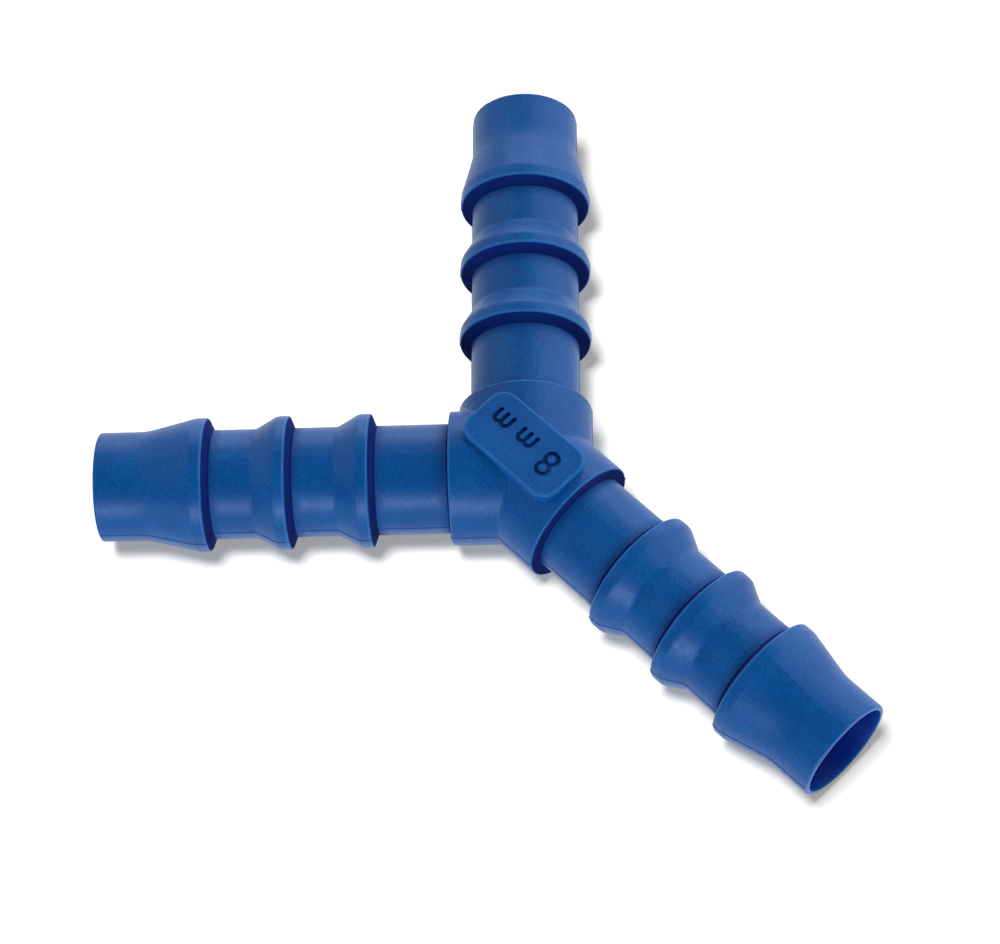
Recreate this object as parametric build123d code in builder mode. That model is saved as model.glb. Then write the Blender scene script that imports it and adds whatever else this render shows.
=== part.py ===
from build123d import *
import os
from math import cos, radians, sin, sqrt

os.makedirs("parts", exist_ok=True)

# Tubing y connector, moulded in one piece, in millimetres.
# It lies on its collars and barbs at z = 0, with +X out of the stem and +Z out of the marked pad.

# Arms: all three are alike, and the two branches lean back evenly from the stem
branch_angle = 90.0  # between the two branches
neck_diameter = 8.0  # the bore of the hose it takes
barb_rise = 0.9  # of the barbs, and of the collars, above the necks
neck_wall = 0.7  # between the neck and the passage in it
rim_wall = 0.36  # at the very end, where the passage flares

# Stations along an arm, counted from the point where the three axes meet
collar_reach = 5.4
neck_length = 5.45  # the plain neck between the collar and the foot of the first barb
barb_pitch = 6.0
barb_count = 3
barb_back = 0.35  # run of the steep back, from the neck up to the crest
crest_length = 0.85
ramp_length = 1.6  # the ramps of the inner barbs
end_ramp_length = 3.65  # the long ramp of the barb nearest the mouth
lead_length = 3.45  # the plain length between the end ramp and the mouth
mouth_flare = 4.0  # how far in the flare of the mouth reaches

# Edges
collar_round = 0.12
crest_round = 0.14  # along the sharp back edge of a crest
crest_blend = 0.8  # where a ramp runs up onto its crest
root_round = 0.08
ramp_blend = 0.8  # where an inner ramp runs out into the neck
end_ramp_blend = 5.0  # where the long ramp runs out into the plain length
mouth_round = 0.18
seam_round = 0.3  # in the seams where the collars meet

# Pad: a raised, flat plate over the joint, long along the stem
pad_length = 8.9
pad_width = 4.8
pad_shift = 0.15  # its middle lies this far towards the stem
pad_corner = 1.3
pad_rise = 0.42  # its face above the top of the collars
pad_edge_round = 0.12

# Size mark sunk in the pad: plain strokes, read from the stem towards the branches
mark_depth = 0.28
stroke = 0.34
loop_radius = 0.47  # the two loops of the figure, to the middle of the stroke
arch_radius = 0.32  # the two arches of a letter, to the middle of the stroke
leg_length = 0.62  # the straight part of a letter's legs, to the middles of its round ends
figure_place = -2.35  # from the middle of the pad, in the direction of reading
first_letter_place = 0.15
letter_pitch = 2.35
letter_count = 2

# Derived sizes
neck = neck_diameter / 2
crest = neck + barb_rise
collar = crest
passage = neck - neck_wall
mouth = neck - rim_wall
crest_end = barb_back + crest_length
barb_reach = collar_reach + neck_length
end_barb = barb_reach + (barb_count - 1) * barb_pitch
lead_start = end_barb + crest_end + end_ramp_length
arm_reach = lead_start + lead_length
pad_height = collar + pad_rise  # above the arms' axes

# The joint stands behind the middle of the length, so that the box is centred on the origin
lean = radians(branch_angle / 2)
branch_back = (arm_reach - mouth_round) * cos(lean) + (neck - mouth_round) * sin(lean) + mouth_round
joint = Vector((branch_back - arm_reach) / 2, 0, crest)


def arm_plane(turn):
    """A plane through an arm's axis: its x runs out of the arm and its y is up."""
    out = Vector(cos(radians(turn)), sin(radians(turn)), 0)
    return Plane(origin=joint, x_dir=out, z_dir=out.cross(Vector(0, 0, 1)))


def corner(x, y):
    """The corner of the sketch in hand that lies nearest to a point."""
    return vertices().sort_by_distance((x, y))[0]


# The stem, then one branch to each side
arm_planes = [arm_plane(turn) for turn in (0, 180 - branch_angle / 2, 180 + branch_angle / 2)]

# Half outline of an arm: collar, neck, barbs and the plain lead, above the arm's axis
barb_feet = [barb_reach + barb * barb_pitch for barb in range(barb_count)]
ramp_feet = [foot + crest_end + ramp_length for foot in barb_feet[:-1]] + [lead_start]
with BuildSketch() as arm_outline:
    with BuildLine():
        outline = [(0, 0), (0, collar), (collar_reach, collar), (collar_reach, neck)]
        for foot, ramp_foot in zip(barb_feet, ramp_feet):
            outline += [(foot, neck), (foot + barb_back, crest), (foot + crest_end, crest), (ramp_foot, neck)]
        outline += [(arm_reach, neck), (arm_reach, 0)]
        Polyline(outline, close=True)
    make_face()
    fillet(corner(collar_reach, collar), collar_round)
    fillet([corner(foot + barb_back, crest) for foot in barb_feet], crest_round)
    fillet([corner(foot + crest_end, crest) for foot in barb_feet], crest_blend)
    fillet([corner(foot, neck) for foot in [collar_reach] + barb_feet], root_round)
    fillet([corner(foot, neck) for foot in ramp_feet[:-1]], ramp_blend)
    fillet(corner(lead_start, neck), end_ramp_blend)
    fillet(corner(arm_reach, neck), mouth_round)

# Half outline of the passage in an arm, with its flared mouth
with BuildSketch() as arm_passage:
    with BuildLine():
        Polyline(
            (0, 0),
            (0, passage),
            (arm_reach - mouth_flare, passage),
            (arm_reach, mouth),
            (arm_reach, 0),
            close=True,
        )
    make_face()

# One letter of the size mark: three legs with round feet under two arches
arch_outer = arch_radius + stroke / 2
arch_inner = arch_radius - stroke / 2
notch = leg_length + sqrt(arch_outer**2 - arch_radius**2)
with BuildSketch() as letter_outline:
    with BuildLine():
        for side in (-1, 1):
            arch, top = side * arch_radius, leg_length + arch_outer
            outside, inside, middle = arch + side * arch_outer, arch + side * arch_inner, arch - side * arch_inner
            ThreePointArc((outside, leg_length), (arch, top), (0, notch))
            ThreePointArc((inside, leg_length), (arch, top - stroke), (middle, leg_length))
            for edge in (outside, inside, middle):
                Line((edge, leg_length), (edge, 0))
        for leg in (-2 * arch_radius, 0, 2 * arch_radius):
            ThreePointArc((leg - stroke / 2, 0), (leg, -stroke / 2), (leg + stroke / 2, 0))
    make_face()

with BuildPart() as y_connector:
    # Outside of the arms
    for plane in arm_planes:
        with BuildSketch(plane):
            add(arm_outline.sketch_local)
        revolve(axis=Axis(plane.origin, plane.x_dir))

    # Seams between the collars
    fillet(edges().filter_by(GeomType.ELLIPSE), seam_round)

    # Pad, standing up out of the joint
    pad_middle = joint + Vector(pad_shift, 0, 0)
    with BuildSketch(Plane(pad_middle)):
        RectangleRounded(pad_length, pad_width, pad_corner)
    extrude(amount=pad_height)
    fillet(faces().sort_by(Axis.Z)[-1].edges(), pad_edge_round)

    # Passages, open to one another in the joint
    for plane in arm_planes:
        with BuildSketch(plane):
            add(arm_passage.sketch_local)
        revolve(axis=Axis(plane.origin, plane.x_dir), mode=Mode.SUBTRACT)

    # Size mark: a figure of two loops, then letters of three legs and two arches
    mark_plane = Plane(pad_middle + Vector(0, 0, pad_height), x_dir=(-1, 0, 0), z_dir=(0, 0, 1))
    with BuildSketch(mark_plane) as mark:
        with Locations((figure_place, loop_radius), (figure_place, -loop_radius)):
            Circle(loop_radius + stroke / 2)
        with Locations((figure_place, loop_radius), (figure_place, -loop_radius)):
            Circle(loop_radius - stroke / 2, mode=Mode.SUBTRACT)
        for letter in range(letter_count):
            with Locations((first_letter_place + letter * letter_pitch, -2 * loop_radius)):
                add(letter_outline.sketch_local)
    extrude(amount=-mark_depth, mode=Mode.SUBTRACT)

y_connector.part.label = "y_connector"
export_step(y_connector.part, "parts/y_connector.step")
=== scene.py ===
# %% [markdown]
# # A moulded tubing y connector
# The object is one piece of blue nylon: a stem and two branches with three barbs each, which meet under a flat pad.
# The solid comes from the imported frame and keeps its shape. Blender adds the finish of the plastic, the thin line
# that the two halves of the mould leave, the light, the paper it lies on and the camera.

# %% Load the frame
from math import cos, radians, sin

import bpy
import numpy as np
from mathutils import Matrix, Vector


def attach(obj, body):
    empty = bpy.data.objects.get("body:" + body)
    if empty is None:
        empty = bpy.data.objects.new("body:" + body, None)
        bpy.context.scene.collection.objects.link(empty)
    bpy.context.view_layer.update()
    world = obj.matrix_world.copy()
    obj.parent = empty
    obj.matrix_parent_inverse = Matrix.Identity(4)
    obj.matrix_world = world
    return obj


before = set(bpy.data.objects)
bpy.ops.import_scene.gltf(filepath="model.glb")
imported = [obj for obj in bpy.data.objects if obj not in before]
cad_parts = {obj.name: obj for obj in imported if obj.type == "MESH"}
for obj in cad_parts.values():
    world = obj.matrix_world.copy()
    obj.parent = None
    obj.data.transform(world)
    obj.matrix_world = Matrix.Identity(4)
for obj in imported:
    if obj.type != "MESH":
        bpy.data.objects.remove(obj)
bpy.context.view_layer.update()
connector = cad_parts["y_connector"]
scene = bpy.context.scene
MM = 0.001

# %% [markdown]
# ## The sizes that the finish follows
# Wear, grain and the mould's line follow the form, so they need the same sizes as the solid. Everything on an arm is
# counted in millimetres from the joint, the point where the three axes meet, and all three arms are alike.

# %% Sizes of the connector, in millimetres
NECK, CREST = 4.0, 4.9
COLLAR_REACH, ARM_REACH = 5.4, 31.15
BARB_REACH, BARB_PITCH, BARB_COUNT = 10.85, 6.0, 3
BARB_BACK, CREST_LENGTH, RAMP_LENGTH, END_RAMP_LENGTH = 0.35, 0.85, 1.6, 3.65
CREST_ROUND, CREST_BLEND, ROOT_ROUND, RAMP_BLEND, END_RAMP_BLEND = 0.14, 0.8, 0.08, 0.8, 5.0
COLLAR_ROUND, MOUTH_ROUND, SEAM_ROUND = 0.12, 0.18, 0.3
PAD_LENGTH, PAD_WIDTH, PAD_SHIFT, PAD_CORNER, PAD_RISE = 8.9, 4.8, 0.15, 1.3, 0.42
BRANCH_ANGLE = 90.0
ARM_TURNS = (0.0, 180.0 - BRANCH_ANGLE / 2, 180.0 + BRANCH_ANGLE / 2)

lean = radians(BRANCH_ANGLE / 2)
branch_back = (ARM_REACH - MOUTH_ROUND) * cos(lean) + (NECK - MOUTH_ROUND) * sin(lean) + MOUTH_ROUND
JOINT = Vector(((branch_back - ARM_REACH) / 2, 0.0, CREST))
PAD_TOP = 2 * CREST + PAD_RISE
print("joint at", JOINT, "mm, pad at", PAD_TOP, "mm")

# %% [markdown]
# ## The camera
# The photograph looks down on the part from beside its stem. A long lens far away and a short one close by give
# different shapes, so direction, distance and focal length were all found from the part's own outline. The camera
# looks past the joint by the small offset that puts the joint where it lies in the picture, which needs no shift.

# %% Camera, in degrees, millimetres and pixels of the picture
PICTURE_WIDTH, PICTURE_HEIGHT = 1000, 944
VIEW_ELEVATION, VIEW_AZIMUTH, VIEW_ROLL = 61.976, -38.79, -6.934
VIEW_DISTANCE = 216.998
FOCAL_PIXELS = 2976.6
JOINT_IN_PICTURE = (525.846, 476.813)
SENSOR_WIDTH = 36.0
NEAREST_SEEN = 10.0


def look(azimuth, elevation, roll=0.0):
    """Right, up and back as unit vectors: back points from the joint to the viewer, and roll turns right towards up."""
    az, el, turn = radians(azimuth), radians(elevation), radians(roll)
    back = Vector((cos(el) * cos(az), cos(el) * sin(az), sin(el)))
    right = Vector((-sin(az), cos(az), 0.0))
    up = back.cross(right)
    return cos(turn) * right + sin(turn) * up, cos(turn) * up - sin(turn) * right, back


def stand(thing, place, axes):
    """Puts an object at a place in millimetres, with its own axes along the three given ones."""
    thing.matrix_world = Matrix.Translation(place * MM) @ Matrix(axes).transposed().to_4x4()
    scene.collection.objects.link(thing)
    return thing


right, up, back = look(VIEW_AZIMUTH, VIEW_ELEVATION, VIEW_ROLL)
aside = (PICTURE_WIDTH / 2 - JOINT_IN_PICTURE[0]) / FOCAL_PIXELS * VIEW_DISTANCE
above = (JOINT_IN_PICTURE[1] - PICTURE_HEIGHT / 2) / FOCAL_PIXELS * VIEW_DISTANCE
lens = bpy.data.cameras.new("camera")
lens.sensor_fit = "HORIZONTAL"
lens.sensor_width = SENSOR_WIDTH
lens.lens = SENSOR_WIDTH * FOCAL_PIXELS / PICTURE_WIDTH
lens.clip_start = NEAREST_SEEN * MM
camera = bpy.data.objects.new("camera", lens)
scene.camera = stand(camera, JOINT + aside * right + above * up + VIEW_DISTANCE * back, (right, up, back))
print("camera at", camera.location, "lens", round(lens.lens, 1), "mm")

# %% [markdown]
# ## Light
# The gloss on the real part shows where its light came from. A clear band runs along the side of the left arm that
# faces the bottom of the picture, so two low cards stand in front. The slopes of the barbs shine softly on both
# other sides, without any edge of a lamp in them, so the lamps there are broad and hang low: the main one and a
# smaller one to the left and far side, and the broadest to the right. Nothing shines straight down on the part,
# because the tops of the arms are the darkest part of the plastic.

# %% Lamps
LAMP_DISTANCE = 600.0


def soft_lamp(name, azimuth, elevation, width, height, power):
    """A rectangular lamp, sizes in millimetres and power in watts, that faces the joint from a viewer's direction."""
    data = bpy.data.lights.new(name, "AREA")
    data.shape = "RECTANGLE"
    data.size, data.size_y = width * MM, height * MM
    data.energy = power
    across, along, out = look(azimuth, elevation)
    return stand(bpy.data.objects.new(name, data), JOINT + LAMP_DISTANCE * out, (across, along, out))


lamps = [
    soft_lamp("main_lamp", 200.0, 32.0, 900.0, 600.0, 1.8),
    soft_lamp("far_lamp", 134.0, 18.0, 460.0, 300.0, 1.4),
    soft_lamp("front_card", -50.0, 13.0, 300.0, 160.0, 2.1),
    soft_lamp("side_card", -74.0, 12.0, 240.0, 160.0, 0.5),
    soft_lamp("right_lamp", 68.0, 30.0, 1100.0, 700.0, 5.2),
]
print("lamps:", [lamp.name for lamp in lamps])

# %% [markdown]
# ## Helpers for node trees
# A finish is a chain of small nodes. A few helpers keep the chains short: one adds a node and sets its inputs, one
# adds a calculation, one carries a number over to another range, and two turn a distance into a soft mask between
# 0 and 1. The last two make a node group and place it in a material.


# %% Node helpers
def add_node(tree, kind, settings=None, **inputs):
    """A node of that kind; settings are its own properties, and inputs are plain values or sockets to link.

    An input goes by its label with _ for a space, or by i and its number where labels repeat.
    """
    node = tree.nodes.new("ShaderNode" + kind)
    for key, value in (settings or {}).items():
        setattr(node, key, value)
    for key, value in inputs.items():
        numbered = key[0] == "i" and key[1:].isdigit()
        socket = node.inputs[int(key[1:]) if numbered else key.replace("_", " ")]
        if isinstance(value, bpy.types.NodeSocket):
            tree.links.new(value, socket)
        else:
            socket.default_value = value
    return node


def sums(tree, operation, first, second=0.0, third=0.0):
    """One calculation with numbers: the operation on up to three values or sockets."""
    return add_node(tree, "Math", {"operation": operation}, i0=first, i1=second, i2=third).outputs[0]


def carried(tree, value, low, high, first, last, way="LINEAR"):
    """The value carried over from low..high to first..last, and held at the ends; way is straight or smooth."""
    ends = {"From_Min": low, "From_Max": high, "To_Min": first, "To_Max": last}
    return add_node(tree, "MapRange", {"interpolation_type": way}, Value=value, **ends).outputs["Result"]


def soft_step(tree, value, low, high):
    """0 where the value is below low, 1 above high and a smooth rise between; low above high turns it round."""
    if low < high:
        return carried(tree, value, low, high, 0.0, 1.0, "SMOOTHSTEP")
    return carried(tree, value, high, low, 1.0, 0.0, "SMOOTHSTEP")


def between(tree, value, low, high, soft):
    """1 between low and high, falling softly to 0 outside."""
    rise = soft_step(tree, value, low - soft, low)
    return sums(tree, "MULTIPLY", rise, soft_step(tree, value, high + soft, high))


def new_group(name, inputs, outputs):
    """An empty node group with named sockets, its tree, its input node and its output node."""
    tree = bpy.data.node_groups.new(name, "ShaderNodeTree")
    for way, sockets in (("INPUT", inputs), ("OUTPUT", outputs)):
        for label, kind in sockets:
            tree.interface.new_socket(label, in_out=way, socket_type="NodeSocket" + kind)
    return tree, tree.nodes.new("NodeGroupInput"), tree.nodes.new("NodeGroupOutput")


def place_group(tree, group, **inputs):
    """The group placed in a tree, with its inputs set or linked."""
    node = tree.nodes.new("ShaderNodeGroup")
    node.node_tree = group
    for key, value in inputs.items():
        socket = node.inputs[key.replace("_", " ")]
        if isinstance(value, bpy.types.NodeSocket):
            tree.links.new(value, socket)
        else:
            socket.default_value = value
    return node


print("node helpers ready")

# %% [markdown]
# ## Where a point lies on the arms
# Marks of use sit on the edges of barbs, so the material has to know how far along an arm a point is and how far
# from its axis. A drawing wrapped round the part would need seams; measuring from the joint needs none. The arm
# that a point belongs to is the one along which it reaches furthest.

# %% Group: place on an arm
arm_place, enter, leave = new_group("arm_place", [("Place", "Vector")], [("Along", "Float"), ("Off Axis", "Float")])


def measured_from(tree, place, middle):
    """The place in millimetres, counted from a middle."""
    to_mm = (1 / MM,) * 3
    return add_node(tree, "VectorMath", {"operation": "MULTIPLY_ADD"}, i0=place, i1=to_mm, i2=-middle).outputs[0]


from_joint = measured_from(arm_place, enter.outputs["Place"], JOINT)
reaches = []
for turn in ARM_TURNS:
    arm_way = (cos(radians(turn)), sin(radians(turn)), 0.0)
    reach = add_node(arm_place, "VectorMath", {"operation": "DOT_PRODUCT"}, i0=from_joint, i1=arm_way)
    reaches.append(reach.outputs["Value"])
along = sums(arm_place, "MAXIMUM", sums(arm_place, "MAXIMUM", reaches[0], reaches[1]), reaches[2])
distance = add_node(arm_place, "VectorMath", {"operation": "LENGTH"}, i0=from_joint).outputs["Value"]
squares = sums(arm_place, "SUBTRACT", sums(arm_place, "POWER", distance, 2.0), sums(arm_place, "POWER", along, 2.0))
arm_place.links.new(along, leave.inputs["Along"])
arm_place.links.new(sums(arm_place, "SQRT", sums(arm_place, "MAXIMUM", squares, 0.0)), leave.inputs["Off Axis"])
print("group", arm_place.name, "with", len(arm_place.nodes), "nodes")

# %% [markdown]
# ## Edges, roots and the passages
# Hoses are pushed over the barbs, which rubs their crests paler, and the pale line on the edges of the crests,
# the collar and the mouth is also a painted highlight where the rounded edges catch the light. The steep backs of
# the barbs and the corners at their feet are dull and carry painted shade, and painted shade darkens the neck softly
# over the last millimetre before a barb and the first after the collar. The inside of the bore gets painted shade
# too. Each barb repeats the last one a pitch further out, so one wrapped distance serves them all. Each mask is a
# band along the arm, kept to the right height above the axis.

# %% Group: edges and roots of the arms, with widths in millimetres
EDGE_WIDTH, ROOT_WIDTH, SHADE_WIDTH, SOFT = 0.1, 0.12, 1.0, 0.08
SHADE_STRENGTH = 0.35
SPAN_LEAD, SPAN_STOP, SPAN_SOFT = 1.0, 1.2, 0.1  # a barb's span starts before its foot, and the last one stops short
EDGE_DEPTHS, ROOT_DEPTHS = (0.35, 0.1), (0.02, 0.16)  # below the crest, from where a mask is 0 to where it is 1
INSIDE_DEPTHS = (0.33, 0.42)  # the same below the neck

arm_edges, enter, leave = new_group(
    "arm_edges",
    [("Along", "Float"), ("Off Axis", "Float")],
    [("Edge", "Float"), ("Root", "Float"), ("Inside", "Float")],
)
along, off = enter.outputs["Along"], enter.outputs["Off Axis"]
span_start, last_stop = BARB_REACH - SPAN_LEAD, BARB_REACH + BARB_COUNT * BARB_PITCH - SPAN_STOP
since_foot = sums(arm_edges, "WRAP", along, span_start + BARB_PITCH, span_start)
on_barbs = between(arm_edges, along, span_start, last_stop, SPAN_SOFT)
high_up, low_down = (
    soft_step(arm_edges, off, CREST - start, CREST - full) for start, full in (EDGE_DEPTHS, ROOT_DEPTHS)
)
crest_edge = between(arm_edges, since_foot, BARB_REACH + BARB_BACK, BARB_REACH + BARB_BACK + EDGE_WIDTH, SOFT)
collar_edge = between(arm_edges, along, COLLAR_REACH - EDGE_WIDTH, COLLAR_REACH, SOFT)
mouth_edge = soft_step(arm_edges, along, ARM_REACH - EDGE_WIDTH, ARM_REACH - 0.5 * MOUTH_ROUND)
# The edge lines are pale wear from the hoses and a painted highlight where the rounded edges catch the light.
edge_lines = sums(arm_edges, "MAXIMUM", sums(arm_edges, "MULTIPLY", crest_edge, on_barbs), collar_edge)
edge = sums(arm_edges, "MAXIMUM", sums(arm_edges, "MULTIPLY", edge_lines, high_up), mouth_edge)
# The root lines are painted shade on the steep backs of the barbs and in the corners at the feet of barbs and collar.
barb_root = between(arm_edges, since_foot, BARB_REACH - ROOT_WIDTH, BARB_REACH + BARB_BACK, SOFT)
collar_root = between(arm_edges, along, COLLAR_REACH, COLLAR_REACH + ROOT_WIDTH, SOFT)
root_lines = sums(arm_edges, "MAXIMUM", sums(arm_edges, "MULTIPLY", barb_root, on_barbs), collar_root)
# Painted shade on the neck over the last millimetre before each barb and the first after the collar.
barb_shade = soft_step(arm_edges, since_foot, BARB_REACH - SHADE_WIDTH, BARB_REACH)
before_foot = sums(arm_edges, "LESS_THAN", since_foot, BARB_REACH)
barb_shade = sums(arm_edges, "MULTIPLY", sums(arm_edges, "MULTIPLY", barb_shade, before_foot), on_barbs)
collar_shade = soft_step(arm_edges, along, COLLAR_REACH + SHADE_WIDTH, COLLAR_REACH)
after_collar = sums(arm_edges, "GREATER_THAN", along, COLLAR_REACH)
shade = sums(arm_edges, "MAXIMUM", barb_shade, sums(arm_edges, "MULTIPLY", collar_shade, after_collar))
root_lines = sums(arm_edges, "MAXIMUM", root_lines, sums(arm_edges, "MULTIPLY", shade, SHADE_STRENGTH))
root = sums(arm_edges, "MULTIPLY", root_lines, low_down)
# The inside mask marks the bore, which takes painted shade.
inside = soft_step(arm_edges, off, NECK - INSIDE_DEPTHS[0], NECK - INSIDE_DEPTHS[1])
for label, socket in (("Edge", edge), ("Root", root), ("Inside", inside)):
    arm_edges.links.new(socket, leave.inputs[label])
print("group", arm_edges.name, "with", len(arm_edges.nodes), "nodes")

# %% [markdown]
# ## The pad and the mark sunk in it
# The pad's rim shows a painted highlight as a thin pale line, and its sunk figure shows painted shade as dark
# strokes. Both follow from one number, the distance inside the pad's rounded outline: the rim is where it is near
# zero, and the strokes are below the face and well inside. It is the distance to a rectangle shrunk by the corner's
# radius, less that radius. The strokes' painted shade fades along the pad towards the stem. The face itself is
# duller than the arms.

# %% Group: pad, with distances in millimetres, counted outwards from the outline and downwards from the face
RIM_BAND, RIM_SOFT = (-0.16, 0.1), 0.1
CUT_BAND, CUT_SOFT = (0.06, 0.35), 0.04
FACE_DEPTHS, FACE_INSET, MARK_INSET = (0.2, 0.08), (0.02, -0.12), (-0.3, -0.4)
# The last two numbers are the strokes' painted shade at the mark's two ends.
MARK_HALF, MARK_DARK, MARK_FAINT_SHADE = 2.6, 0.8, 0.15  # the strokes' darkness at the mark's two ends

pad_place, enter, leave = new_group(
    "pad_place", [("Place", "Vector")], [("Rim", "Float"), ("Sunk", "Float"), ("Face", "Float")]
)
pad_middle = Vector((JOINT.x + PAD_SHIFT, JOINT.y, PAD_TOP))
spread = add_node(pad_place, "SeparateXYZ", Vector=measured_from(pad_place, enter.outputs["Place"], pad_middle))
beyond = [
    sums(pad_place, "SUBTRACT", sums(pad_place, "ABSOLUTE", spread.outputs[axis]), size / 2 - PAD_CORNER)
    for axis, size in (("X", PAD_LENGTH), ("Y", PAD_WIDTH))
]
corner_way = [sums(pad_place, "POWER", sums(pad_place, "MAXIMUM", way, 0.0), 2.0) for way in beyond]
outward = sums(pad_place, "SQRT", sums(pad_place, "ADD", corner_way[0], corner_way[1]))
inward = sums(pad_place, "MINIMUM", sums(pad_place, "MAXIMUM", beyond[0], beyond[1]), 0.0)
outline = sums(pad_place, "SUBTRACT", sums(pad_place, "ADD", outward, inward), PAD_CORNER)
depth = sums(pad_place, "MULTIPLY", spread.outputs["Z"], -1.0)
near_top = soft_step(pad_place, depth, *FACE_DEPTHS)
# The rim's pale line is a painted highlight on the pad's rounded edge.
rim = sums(pad_place, "MULTIPLY", between(pad_place, outline, *RIM_BAND, RIM_SOFT), near_top)
well_inside = soft_step(pad_place, outline, *MARK_INSET)
# The strokes below the face take painted shade, which fades along the pad towards the stem.
cut = sums(pad_place, "MULTIPLY", between(pad_place, depth, *CUT_BAND, CUT_SOFT), well_inside)
fading = carried(pad_place, spread.outputs["X"], -MARK_HALF, MARK_HALF, MARK_DARK, MARK_FAINT_SHADE)
sunk = sums(pad_place, "MULTIPLY", cut, fading)
face = sums(pad_place, "MULTIPLY", soft_step(pad_place, outline, *FACE_INSET), near_top)
for label, socket in (("Rim", rim), ("Sunk", sunk), ("Face", face)):
    pad_place.links.new(socket, leave.inputs[label])
print("group", pad_place.name, "with", len(pad_place.nodes), "nodes")

# %% [markdown]
# ## Moulded grain
# The tool's surface prints a fine, soft grain on the plastic, and the melt leaves broad clouds where it flowed. Two
# sizes of noise give the grain its height, a third gives small flecks of colour and a fourth the clouds. All are
# read from the object's own coordinates, so they stay put on the part in every view.

# %% Group: moulded grain
FINE_SIZE, COARSE_SIZE, FLECK_SIZE, CLOUD_SIZE = 0.16, 0.42, 0.18, 3.2  # millimetres
FINE_SHARE = 0.45
NOISE_LOW, NOISE_HIGH = 0.3, 0.7  # the noise seldom leaves this range

moulded_grain, enter, leave = new_group(
    "moulded_grain", [("Place", "Vector")], [("Height", "Float"), ("Fleck", "Float"), ("Cloud", "Float")]
)


def noise(tree, place, size, detail, roughness=0.5):
    """A smooth random value around 0.5, whose patches are about size millimetres across."""
    node = add_node(tree, "TexNoise", Vector=place, Scale=1 / (size * MM), Detail=detail, Roughness=roughness)
    return node.outputs["Fac"]


place = enter.outputs["Place"]
fine, coarse = noise(moulded_grain, place, FINE_SIZE, 2.0), noise(moulded_grain, place, COARSE_SIZE, 3.0, 0.6)
coarse_part = sums(moulded_grain, "MULTIPLY", coarse, 1.0 - FINE_SHARE)
height = sums(moulded_grain, "MULTIPLY_ADD", fine, FINE_SHARE, coarse_part)
fleck = soft_step(moulded_grain, noise(moulded_grain, place, FLECK_SIZE, 3.0, 0.65), NOISE_LOW, NOISE_HIGH)
cloud = soft_step(moulded_grain, noise(moulded_grain, place, CLOUD_SIZE, 3.0), NOISE_LOW, NOISE_HIGH)
for label, socket in (("Height", height), ("Fleck", fleck), ("Cloud", cloud)):
    moulded_grain.links.new(socket, leave.inputs[label])
print("group", moulded_grain.name, "with", len(moulded_grain.nodes), "nodes")

# %% [markdown]
# ## The blue plastic
# The colour is a deep cobalt with a little green in it. Flecks and clouds vary it, the edges are rubbed paler and
# carry a painted highlight, and painted shade takes the roots, the sunk strokes and the passages towards navy. The
# gloss is satin, a little broken by the grain and dull in the roots. It is bluish, because light that enters such a
# plastic just under the skin comes back coloured.

# %% Colours and strengths of the blue plastic
# The third colour on the next line is for the pale edges: partly wear, partly a painted highlight.
BODY, CLOUDED, WEAR_AND_HIGHLIGHT = (0.0009, 0.072, 0.29), (0.0015, 0.094, 0.335), (0.02, 0.17, 0.5)
# Both colours on the next line are painted shade: the first for the roots and the sunk strokes, the second for the
# bore.
SHADE_NAVY, INNER_SHADE = (0.0001, 0.01, 0.125), (0.0005, 0.014, 0.21)
GLOSS_TINT = (0.52, 0.62, 1.0)
ROUGHNESS_LOW, ROUGHNESS_HIGH, ROUGHNESS_DEEP, ROUGHNESS_PAD = 0.33, 0.47, 1.0, 0.72
SPECULAR_LEVEL, GRAIN_STRENGTH, GRAIN_DEPTH = 0.3, 0.6, 0.02
CLOUD_AMOUNT, FLECK_DARK, FLECK_PALE = 0.7, 0.8, 1.18
# Amounts of the pale edges, which are wear with a painted highlight, and of the painted shade in the roots, the sunk
# strokes and the bore.
WEAR_AND_HIGHLIGHT_AMOUNT, ROOT_AMOUNT, SUNK_AMOUNT, INSIDE_AMOUNT = 0.5, 0.97, 0.6, 0.95


def blend(tree, amount, first, second, way="MIX"):
    """Two colours mixed: first where amount is 0 and second where it is 1."""
    node = add_node(tree, "Mix", {"data_type": "RGBA", "blend_type": way})
    for index, value in ((0, amount), (6, first), (7, second)):
        if isinstance(value, bpy.types.NodeSocket):
            tree.links.new(value, node.inputs[index])
        else:
            node.inputs[index].default_value = value if index == 0 else (*value, 1.0)
    return node.outputs[2]


def share(tree, mask, amount):
    """A mask weakened to an amount."""
    return sums(tree, "MULTIPLY", mask, amount)


def blend_numbers(tree, amount, first, second):
    """Two numbers mixed: first where amount is 0 and second where it is 1."""
    return add_node(tree, "Mix", {"data_type": "FLOAT"}, i0=amount, i2=first, i3=second).outputs[0]


print("body colour", BODY)

# %% [markdown]
# The colour is laid on in this order: the moulded body with its clouds and flecks, then the rubbed edges with their
# painted highlight, then the painted shade in the roots, the sunk strokes and the passages. Only what changes over
# the surface goes through nodes; the level and the tint of the gloss are set on the shader itself.

# %% Material: blue plastic
plastic = bpy.data.materials.new("blue_plastic")
plastic.use_nodes = True
tree = plastic.node_tree
shader = tree.nodes["Principled BSDF"]
place = add_node(tree, "TexCoord").outputs["Object"]
arms = place_group(tree, arm_place, Place=place)
edges = place_group(tree, arm_edges, Along=arms.outputs["Along"], Off_Axis=arms.outputs["Off Axis"])
pad = place_group(tree, pad_place, Place=place)
grain = place_group(tree, moulded_grain, Place=place)

colour = blend(tree, share(tree, grain.outputs["Cloud"], CLOUD_AMOUNT), BODY, CLOUDED)
fleck_shade = carried(tree, grain.outputs["Fleck"], 0.0, 1.0, FLECK_DARK, FLECK_PALE)
colour = blend(tree, 1.0, colour, fleck_shade, "MULTIPLY")
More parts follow.
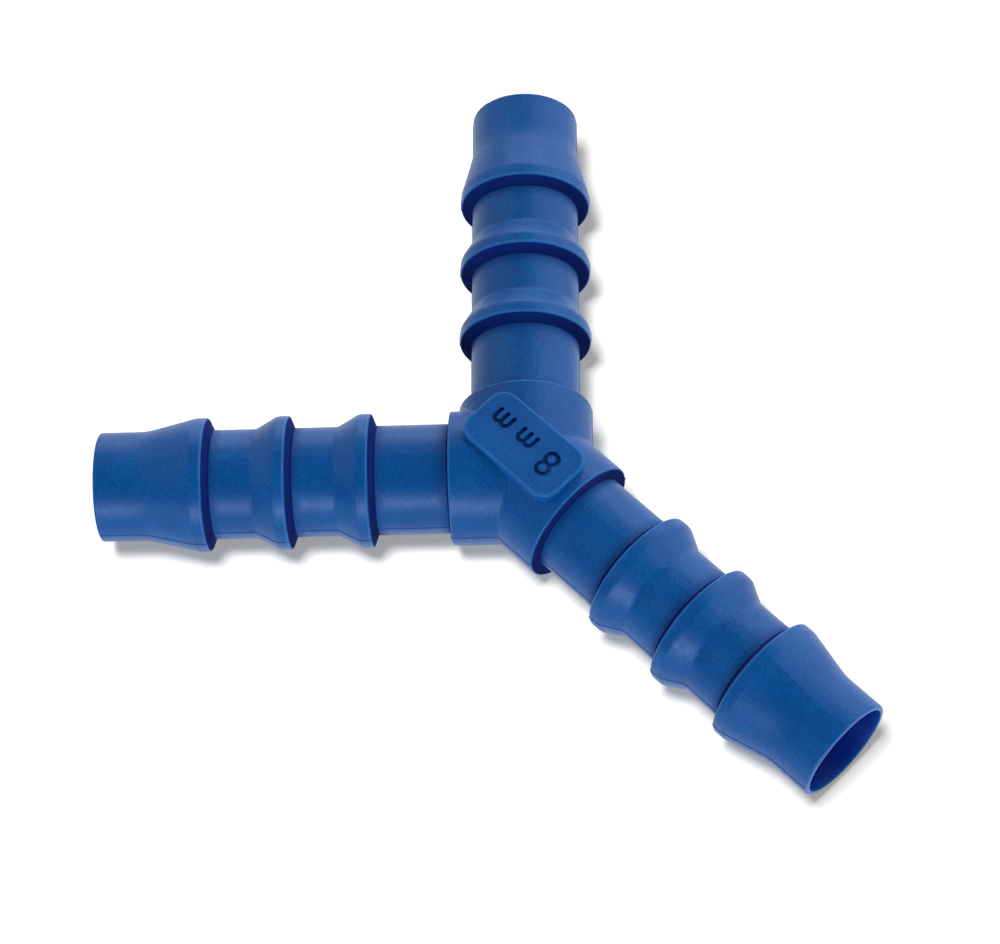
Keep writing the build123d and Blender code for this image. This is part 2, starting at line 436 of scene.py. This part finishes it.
# Pale edges and the pad's rim: partly wear, partly a painted highlight.
worn_and_highlit_lines = sums(tree, "MAXIMUM", edges.outputs["Edge"], pad.outputs["Rim"])
colour = blend(tree, share(tree, worn_and_highlit_lines, WEAR_AND_HIGHLIGHT_AMOUNT), colour, WEAR_AND_HIGHLIGHT)
# Painted shade in the roots of the barbs and the collar and on the neck beside them.
colour = blend(tree, share(tree, edges.outputs["Root"], ROOT_AMOUNT), colour, SHADE_NAVY)
# Painted shade in the sunk strokes of the mark.
colour = blend(tree, share(tree, pad.outputs["Sunk"], SUNK_AMOUNT), colour, SHADE_NAVY)
# Painted shade inside the bore.
colour = blend(tree, share(tree, edges.outputs["Inside"], INSIDE_AMOUNT), colour, INNER_SHADE)
tree.links.new(colour, shader.inputs["Base Color"])

gloss = carried(tree, grain.outputs["Height"], NOISE_LOW, NOISE_HIGH, ROUGHNESS_LOW, ROUGHNESS_HIGH)
gloss = blend_numbers(tree, edges.outputs["Root"], gloss, ROUGHNESS_DEEP)
gloss = blend_numbers(tree, pad.outputs["Face"], gloss, ROUGHNESS_PAD)
tree.links.new(gloss, shader.inputs["Roughness"])
bump = add_node(tree, "Bump", Strength=GRAIN_STRENGTH, Distance=GRAIN_DEPTH * MM, Height=grain.outputs["Height"])
tree.links.new(bump.outputs["Normal"], shader.inputs["Normal"])
shader.inputs["Specular IOR Level"].default_value = SPECULAR_LEVEL
shader.inputs["Specular Tint"].default_value = (*GLOSS_TINT, 1.0)
for slot in connector.material_slots:
    slot.material = plastic
print("material", plastic.name, "with", len(tree.nodes), "nodes on", len(connector.material_slots), "slots")

# %% [markdown]
# ## The parting line
# The mould opens along the plane of the arms' axes, and where its halves meet it leaves a ridge a few hundredths of a
# millimetre high. It shows in the photograph as a fine line low on the left arm. A bump in the material would fade at
# the outline, so the ridge is a real strip, carried along the part's own outline in that plane. One strip runs
# from mouth to mouth between each two neighbouring arms.

# %% Outline of an arm, and the ridge's section in millimetres
RIDGE_RISE, RIDGE_HALF_TOP, RIDGE_HALF_FOOT, RIDGE_SUNK = 0.035, 0.02, 0.085, 0.05
CURVE_STEPS = 9


def arm_corners():
    """Corners of an arm's outline from the collar's end to the mouth: rows of along, off axis and rounding radius."""
    barb = np.arange(BARB_COUNT)
    inner = barb < BARB_COUNT - 1
    feet = BARB_REACH + BARB_PITCH * barb
    tops = feet + BARB_BACK + CREST_LENGTH
    ends = tops + np.where(inner, RAMP_LENGTH, END_RAMP_LENGTH)
    run_outs = np.where(inner, RAMP_BLEND, END_RAMP_BLEND)
    stations = np.stack([feet, feet + BARB_BACK, tops, ends], 1)
    heights = np.tile([NECK, CREST, CREST, NECK], (BARB_COUNT, 1))
    rounds = np.stack([np.full(BARB_COUNT, r) for r in (ROOT_ROUND, CREST_ROUND, CREST_BLEND)] + [run_outs], 1)
    barbs = np.stack([stations, heights, rounds], 2).reshape(-1, 3)
    collar = [(COLLAR_REACH, CREST, COLLAR_ROUND), (COLLAR_REACH, NECK, ROOT_ROUND)]
    return np.concatenate([collar, barbs, [(ARM_REACH - MOUTH_ROUND, NECK, 0.0)]])


def rounded_path(corners, rounds):
    """Each corner becomes a quadratic curve between the points where its rounding touches the two sides.

    The touching points lie radius times tan(half the turn) from the corner, and the curve is
    (1-u)^2 first + 2u(1-u) corner + u^2 last, for all corners and all u at once.
    """
    sides = np.diff(corners, axis=0)
    sides /= np.linalg.norm(sides, axis=1, keepdims=True)
    before, after = sides[:-1], sides[1:]
    half_turn = np.arccos(np.clip((before * after).sum(1), -1, 1)) / 2
    reach = (rounds[1:-1] * np.tan(half_turn))[:, None]
    first, middle, last = corners[1:-1] - before * reach, corners[1:-1], corners[1:-1] + after * reach
    u = np.linspace(0, 1, CURVE_STEPS)[None, :, None]
    curves = (1 - u) ** 2 * first[:, None] + 2 * u * (1 - u) * middle[:, None] + u**2 * last[:, None]
    return np.concatenate([corners[:1], curves.reshape(-1, 2), corners[-1:]])


outline_corners = arm_corners()
print("outline of an arm:", len(outline_corners), "corners")

# %% [markdown]
# The strip's section is a small roof with its feet sunk in the wall. It is set square to the outline at every
# point of the path, which makes a grid of path points by four section points.


# %% Parting line
def between_arms(first_turn, second_turn):
    """Path in the plane from the first arm's mouth, along its left side, through the seam, to the second arm's mouth.

    A point of an arm is along times its direction plus off axis times its sideways direction. The collars' sides
    meet where along = off axis / tan(half the angle between the arms).
    """
    paths = []
    for turn, side in ((first_turn, 1), (second_turn, -1)):
        out = np.array([cos(radians(turn)), sin(radians(turn))])
        sideways = side * np.array([-out[1], out[0]])
        paths.append(outline_corners[:, :1] * out + outline_corners[:, 1:2] * sideways)
    half = radians(second_turn - first_turn) / 2
    middle = radians(first_turn + second_turn) / 2
    seam = CREST / sin(half) * np.array([[cos(middle), sin(middle)]])
    rounds = np.concatenate([outline_corners[::-1, 2], [SEAM_ROUND], outline_corners[:, 2]])
    return rounded_path(np.concatenate([paths[0][::-1], seam, paths[1]]), rounds)


def ridge_grid(path):
    """Points by section: path + outward * rise, with height above the plane, for the four corners of the roof."""
    along_path = np.gradient(path, axis=0)
    along_path /= np.linalg.norm(along_path, axis=1, keepdims=True)
    outward = np.stack([along_path[:, 1], -along_path[:, 0]], 1)
    section = np.array([
        (-RIDGE_SUNK, -RIDGE_HALF_FOOT), (RIDGE_RISE, -RIDGE_HALF_TOP),
        (RIDGE_RISE, RIDGE_HALF_TOP), (-RIDGE_SUNK, RIDGE_HALF_FOOT),
    ])
    flat = path[:, None] + outward[:, None] * section[None, :, :1]
    level = np.broadcast_to(section[None, :, 1:], flat.shape[:2] + (1,))
    return np.concatenate([flat, level], 2)


def strip_mesh(name, grids):
    """One mesh of closed strips: quads round each section and along the path, and a quad over each end."""
    points, faces, base = [], [], 0
    for grid in grids:
        rows, columns = grid.shape[:2]
        row, column = np.meshgrid(np.arange(rows - 1), np.arange(columns), indexing="ij")
        beside = (column + 1) % columns
        quads = np.stack([row * columns + column, (row + 1) * columns + column,
                          (row + 1) * columns + beside, row * columns + beside], 2).reshape(-1, 4)
        ends = np.array([np.arange(columns), (rows - 1) * columns + np.arange(columns)[::-1]])
        points.append(grid.reshape(-1, 3))
        faces.append(np.concatenate([quads, ends]) + base)
        base += rows * columns
    mesh = bpy.data.meshes.new(name)
    mesh.from_pydata((np.concatenate(points) + np.array(JOINT)) * MM, [], np.concatenate(faces).tolist())
    return mesh


pairs = [(ARM_TURNS[0], ARM_TURNS[1]), (ARM_TURNS[1], ARM_TURNS[2]), (ARM_TURNS[2], ARM_TURNS[0] + 360.0)]
ridges = [ridge_grid(between_arms(*pair)) for pair in pairs]
parting_line = bpy.data.objects.new("parting_line", strip_mesh("parting_line", ridges))
parting_line.data.materials.append(plastic)
scene.collection.objects.link(parting_line)
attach(parting_line, "root")
print("parting line:", len(parting_line.data.polygons), "faces")

# %% [markdown]
# ## Paper and surroundings
# The background of the photograph is pure white, with a narrow shadow close to the part. A brighter lamp would bleach
# the plastic as well, so the paper has two faces: light that goes on to the part meets a plain pale grey, while the
# camera and the gloss meet a white that also glows a little. The glow grows away from the part, so the close shadow
# stays and the far paper runs into the white room. From below, the paper lets the camera look through at the part.

# %% Paper
FLOOR_HALF = 1000.0
paper_mesh = bpy.data.meshes.new("paper")
corners = [(x * FLOOR_HALF * MM, y * FLOOR_HALF * MM, 0.0) for x, y in ((-1, -1), (1, -1), (1, 1), (-1, 1))]
paper_mesh.from_pydata(corners, [], [(0, 1, 2, 3)])
paper = bpy.data.objects.new("paper", paper_mesh)
scene.collection.objects.link(paper)
print("paper:", 2 * FLOOR_HALF, "mm wide")

# %% [markdown]
# The rays tell the two faces of the paper apart. A ray from the camera, or one that comes off a gloss or through
# glass, is a look at the paper, and all others carry light on to the part.

# %% Material: paper
PAPER_PLAIN, PAPER_SEEN = (0.45, 0.45, 0.45), (1.2, 1.19, 1.17)
GLOW_COLOUR, NEAR_GLOW, FAR_GLOW = (1.0, 0.96, 0.82), 0.3, 1.05
GLOW_START, GLOW_END = 50.0, 120.0  # millimetres from the middle


def seen_by_camera(tree):
    """1 for camera, glossy and transmission rays, and 0 for the light that the surface sends on."""
    rays = add_node(tree, "LightPath").outputs
    seen = sums(tree, "MAXIMUM", rays["Is Camera Ray"], rays["Is Glossy Ray"])
    return sums(tree, "MAXIMUM", seen, rays["Is Transmission Ray"])


paper_white = bpy.data.materials.new("paper_white")
paper_white.use_nodes = True
tree = paper_white.node_tree
tree.nodes.remove(tree.nodes["Principled BSDF"])
plain = add_node(tree, "BsdfDiffuse", Color=(*PAPER_PLAIN, 1.0))
shown = add_node(tree, "BsdfDiffuse", Color=(*PAPER_SEEN, 1.0))
place = add_node(tree, "TexCoord").outputs["Object"]
way_out = add_node(tree, "VectorMath", {"operation": "LENGTH"}, i0=place).outputs["Value"]
glow = carried(tree, way_out, GLOW_START * MM, GLOW_END * MM, NEAR_GLOW, FAR_GLOW, "SMOOTHSTEP")
lift = add_node(tree, "Emission", Color=(*GLOW_COLOUR, 1.0), Strength=glow)
lifted = add_node(tree, "AddShader", i0=shown.outputs[0], i1=lift.outputs[0])
front = add_node(tree, "MixShader", i0=seen_by_camera(tree), i1=plain.outputs[0], i2=lifted.outputs[0])
from_below, clear = add_node(tree, "NewGeometry").outputs["Backfacing"], add_node(tree, "BsdfTransparent")
finish = add_node(tree, "MixShader", i0=from_below, i1=front.outputs[0], i2=clear.outputs[0])
tree.links.new(finish.outputs[0], tree.nodes["Material Output"].inputs["Surface"])
paper_mesh.materials.append(paper_white)
print("material", paper_white.name, "with", len(tree.nodes), "nodes")

# %% Room
ROOM_DIM, ROOM_WHITE = 0.06, 1.0
world = bpy.data.worlds.new("studio")
scene.world = world
world.use_nodes = True
tree = world.node_tree
dim_room, white_room = tree.nodes["Background"], add_node(tree, "Background", Strength=ROOM_WHITE)
dim_room.inputs["Color"].default_value = white_room.inputs["Color"].default_value = (1, 1, 1, 1)
dim_room.inputs["Strength"].default_value = ROOM_DIM
rays = add_node(tree, "LightPath").outputs
room = add_node(tree, "MixShader", i0=rays["Is Camera Ray"], i1=dim_room.outputs[0], i2=white_room.outputs[0])
tree.links.new(room.outputs[0], tree.nodes["World Output"].inputs["Surface"])
print("room:", ROOM_DIM, "for light and", ROOM_WHITE, "for the camera")

# %% [markdown]
# ## Which lamp lights what
# The shadow in the photograph is short on every side, so the paper was lit from nearly straight above. That lamp
# would wash out the dark tops of the arms. Light linking keeps the two apart: the side lamps name the part and its
# parting line as what they light, and the lamp above names the paper alone, on which the part still casts a shadow.

# %% Light linking
paper_lamp = soft_lamp("paper_lamp", 272.0, 78.0, 150.0, 150.0, 2.7)
for name, lit, senders in (("lit_part", [connector, parting_line], lamps), ("lit_paper", [paper], [paper_lamp])):
    receivers = bpy.data.collections.new(name)
    for thing in lit:
        receivers.objects.link(thing)
    for lamp in senders:
        lamp.light_linking.receiver_collection = receivers
    print(name, "by", [lamp.name for lamp in senders])

# %% [markdown]
# ## The end
# The picture is shown through the plain Standard view transform.

# %% Finish
scene.view_settings.view_transform = "Standard"
